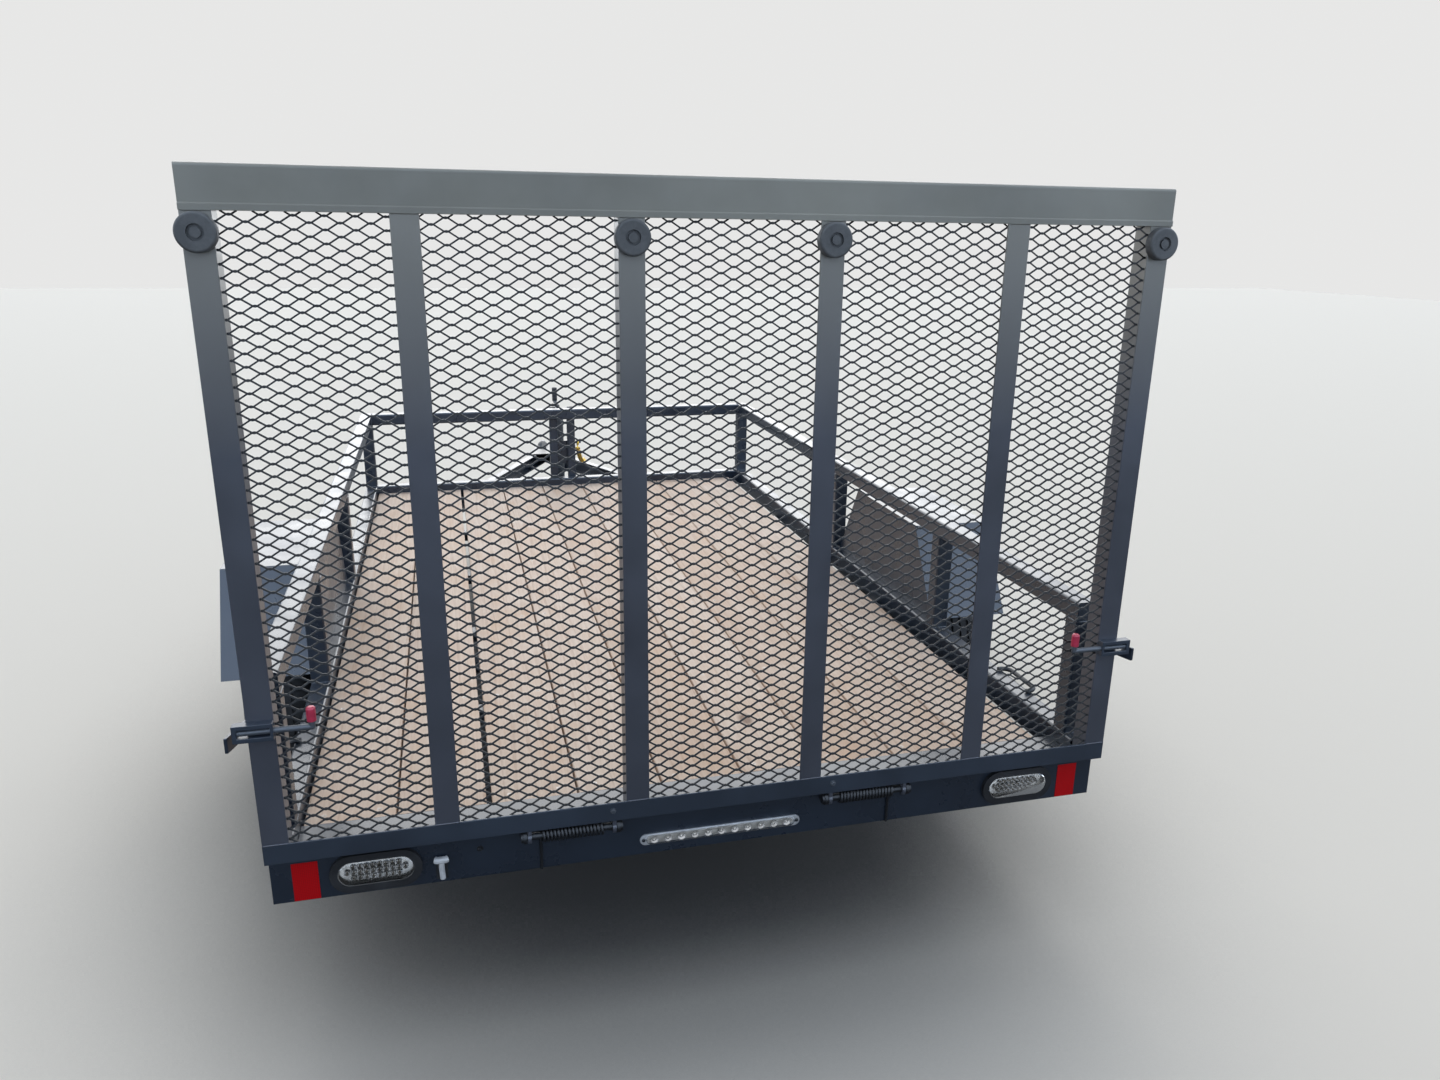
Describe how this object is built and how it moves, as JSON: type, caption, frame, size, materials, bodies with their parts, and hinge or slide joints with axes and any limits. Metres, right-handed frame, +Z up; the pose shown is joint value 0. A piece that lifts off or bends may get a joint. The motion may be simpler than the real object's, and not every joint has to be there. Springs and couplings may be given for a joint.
{
  "type": "utility trailer",
  "caption": "Single-axle utility trailer with a plank deck, side rails, an upright mesh ramp gate that folds down, flat-topped fenders and an A-frame tongue standing on its jack.",
  "frame": {"origin": "on the ground under the middle of the trailer's length and width", "axes": "+X to the trailer's right, +Y forward to the coupler, +Z up"},
  "size_m": [2.414, 4.4698, 1.846],
  "materials": {
    "frame_paint": "semi-gloss powder coat, charcoal blue",
    "gate_paint": "semi-gloss powder coat, charcoal blue",
    "deck_wood": "sawn softwood planks, tan to pinkish brown",
    "bright_steel": "zinc plated bolts, pins and rods",
    "spring_steel": "black painted spring steel",
    "coupler_paint": "black paint",
    "jack_zinc": "grey painted steel",
    "hub_iron": "painted cast iron",
    "wheel_silver": "silver painted steel",
    "tyre_rubber": "black tyre rubber",
    "black_rubber": "black rubber",
    "clear_lens": "clear lens over light emitting diodes",
    "red_tape": "red retroreflective tape",
    "red_vinyl": "red vinyl grip",
    "chain_zinc": "yellow zinc plating"
  },
  "bodies": {
    "trailer_frame": {"side_frame_left": "frame_paint", "side_frame_right": "frame_paint", "front_header": "frame_paint", "rear_member": "frame_paint", "cross_members": "frame_paint", "deck_planks": "deck_wood", "side_rail_left": "frame_paint", "side_rail_right": "frame_paint", "front_rail": "frame_paint", "rail_posts": "frame_paint", "fender_left": "frame_paint", "fender_right": "frame_paint", "tongue_leg_left": "frame_paint", "tongue_leg_right": "frame_paint", "jack_beam": "frame_paint", "coupler": "coupler_paint", "jack_tube": "jack_zinc", "jack_crank": "jack_zinc", "carrier_posts": "frame_paint", "axle": "frame_paint", "leaf_spring_left": "spring_steel", "leaf_spring_right": "spring_steel", "spring_hangers": "frame_paint", "spring_hardware": "bright_steel", "hinge_pins": "frame_paint", "lift_springs": "spring_steel", "gate_strikers": "frame_paint", "light_grommets": "black_rubber", "tail_lights": "clear_lens", "light_bar": "clear_lens", "reflector_tape": "red_tape", "tie_downs": "frame_paint", "safety_chain": "chain_zinc"},
    "gate": {"gate_top_rail": "gate_paint", "gate_bottom_rail": "gate_paint", "gate_uprights": "gate_paint", "gate_mesh": "gate_paint", "gate_pads": "black_rubber", "gate_hinge_ears": "gate_paint", "gate_latch_straps": "gate_paint", "gate_latch_rods": "bright_steel", "latch_grips": "red_vinyl"},
    "wheel_left": {"hub_left": "hub_iron", "rim_left": "wheel_silver", "tyre_left": "tyre_rubber"},
    "wheel_right": {"hub_right": "hub_iron", "rim_right": "wheel_silver", "tyre_right": "tyre_rubber"},
    "jack_leg": {"jack_leg": "jack_zinc"}
  },
  "joints": [
    {"name": "gate_hinge", "type": "hinge", "parent": "trailer_frame", "child": "gate", "pos_m": [0, -2.2029, 0.488], "axis": [1, 0, 0], "range_deg": [0, 110]},
    {"name": "wheel_left_spin", "type": "hinge", "parent": "trailer_frame", "child": "wheel_left", "pos_m": [-1.085, -0.8939, 0.344], "axis": [1, 0, 0], "continuous": true},
    {"name": "wheel_right_spin", "type": "hinge", "parent": "trailer_frame", "child": "wheel_right", "pos_m": [1.085, -0.8939, 0.344], "axis": [1, 0, 0], "continuous": true},
    {"name": "jack_leg_slide", "type": "slide", "parent": "trailer_frame", "child": "jack_leg", "axis": [0, 0, 1], "range_m": [0, 0.3]}
  ]
}
